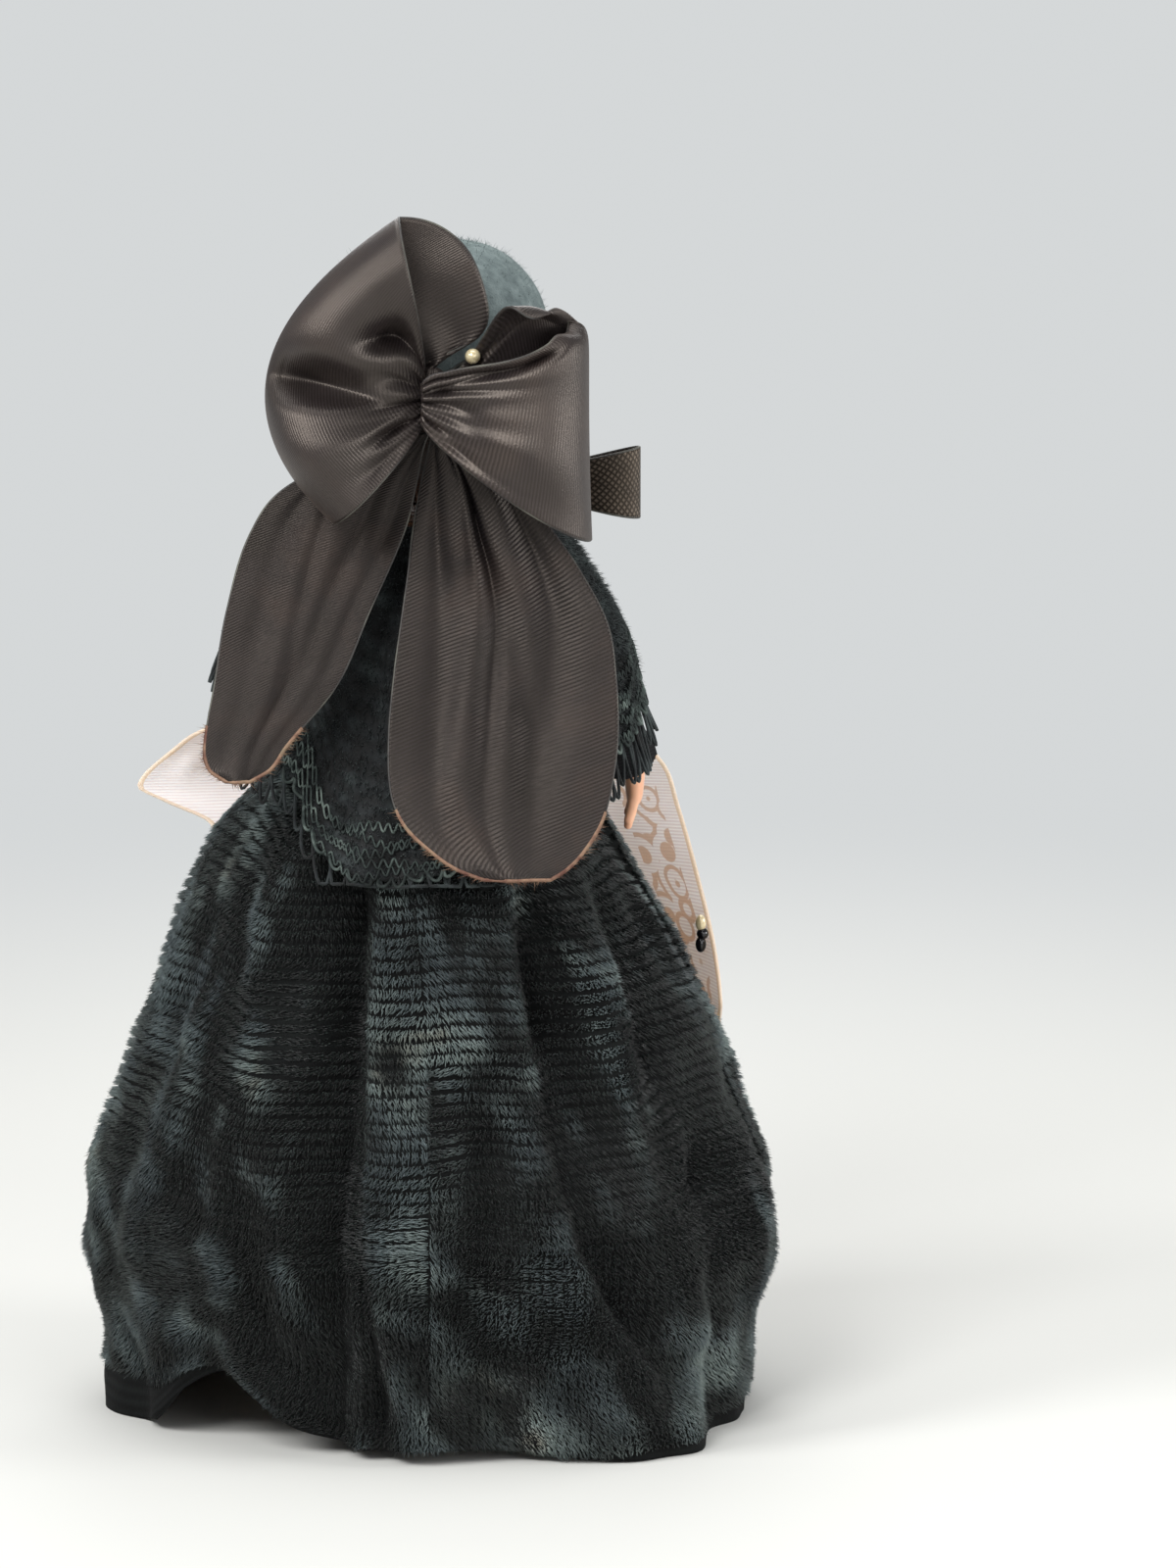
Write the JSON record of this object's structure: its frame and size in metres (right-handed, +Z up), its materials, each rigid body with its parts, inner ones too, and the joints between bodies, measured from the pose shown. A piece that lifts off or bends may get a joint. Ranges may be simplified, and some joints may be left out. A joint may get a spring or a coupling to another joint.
{
  "type": "souvenir doll",
  "caption": "Strung hard-plastic souvenir doll with sleep eyes, in a velvet skirt, satin apron, lace shawl, felt cap and wide satin head bow, standing on its skirt and shoes",
  "frame": {"origin": "on the ground under the middle of the doll's box", "axes": "+Z up, +Y the way the doll faces, +X towards the doll's right hand, which is to the right when it is seen from behind"},
  "size_m": [0.1192, 0.108, 0.2098],
  "materials": {
    "hard_plastic": "satin hard plastic in a skin tone",
    "steel_wire": "bare drawn wire",
    "lead_weight": "dull cast lead",
    "eye": "polished acrylic",
    "white_elastic": "cotton-covered elastic",
    "white_cotton": "plain woven cotton",
    "black_cotton": "plain woven cotton",
    "black_velvet": "knitted velvet with rows of pile",
    "black_lace": "chenille lace",
    "dark_satin": "satin ribbon with a twill ground",
    "pale_satin": "printed satin",
    "dark_felt": "brushed felt",
    "brown_hair": "combed synthetic hair",
    "shoe_vinyl": "moulded vinyl",
    "pearl": "pearl lacquer"
  },
  "bodies": {
    "torso": {"torso_front": "hard_plastic", "torso_back": "hard_plastic", "bodice": "black_cotton", "knickers": "white_cotton", "arm_elastic": "white_elastic", "right_leg_elastic": "white_elastic", "left_leg_elastic": "white_elastic", "skirt": "black_velvet", "petticoat": "white_cotton", "apron_waistband": "pale_satin", "apron": "pale_satin", "apron_ornament": "pearl", "shawl": "black_lace", "shawl_fringe": "black_lace"},
    "head": {"head_front": "hard_plastic", "head_back": "hard_plastic", "neck_bar": "steel_wire", "eye_stop_pad": "black_cotton", "wig": "brown_hair", "felt_cap": "dark_felt", "pin_shaft": "steel_wire", "pin_pearl": "pearl", "bow_left_loop": "dark_satin", "bow_right_loop": "dark_satin", "bow_knot": "dark_satin", "bow_left_tail": "dark_satin", "bow_right_tail": "dark_satin", "chin_ribbon": "dark_satin", "chin_bow_knot": "dark_satin", "chin_bow_back_loop": "dark_satin", "chin_bow_front_loop": "dark_satin"},
    "eyes": {"right_eye": "eye", "left_eye": "eye", "eye_rocker": "steel_wire", "eye_weight": "lead_weight"},
    "right_arm": {"right_arm": "hard_plastic", "right_arm_hook": "steel_wire", "right_sleeve": "black_cotton"},
    "left_arm": {"left_arm": "hard_plastic", "left_arm_hook": "steel_wire", "left_sleeve": "black_cotton"},
    "right_leg": {"right_leg": "hard_plastic", "right_leg_hook": "steel_wire", "right_shoe": "shoe_vinyl"},
    "left_leg": {"left_leg": "hard_plastic", "left_leg_hook": "steel_wire", "left_shoe": "shoe_vinyl"}
  },
  "joints": [
    {"name": "head_turn", "type": "hinge", "parent": "torso", "child": "head", "pos_m": [0.00084, -0.00048, 0.151], "axis": [0, 0, 1], "range_deg": [-35, 35]},
    {"name": "eyes_roll", "type": "hinge", "parent": "head", "child": "eyes", "pos_m": [0.00084, 0.00812, 0.1775], "axis": [1, 0, 0], "range_deg": [-55, 0]},
    {"name": "right_arm_swing", "type": "hinge", "parent": "torso", "child": "right_arm", "pos_m": [0.01623, -0.00048, 0.146], "axis": [1, 0, 0], "range_deg": [-12, 12]},
    {"name": "left_arm_swing", "type": "hinge", "parent": "torso", "child": "left_arm", "pos_m": [-0.01456, -0.00048, 0.146], "axis": [1, 0, 0], "range_deg": [-8, 5]},
    {"name": "right_leg_swing", "type": "hinge", "parent": "torso", "child": "right_leg", "pos_m": [0.00903, -0.00048, 0.093], "axis": [1, 0, 0], "range_deg": [-14, 14]},
    {"name": "left_leg_swing", "type": "hinge", "parent": "torso", "child": "left_leg", "pos_m": [-0.00737, -0.00048, 0.093], "axis": [1, 0, 0], "range_deg": [-14, 14]}
  ]
}
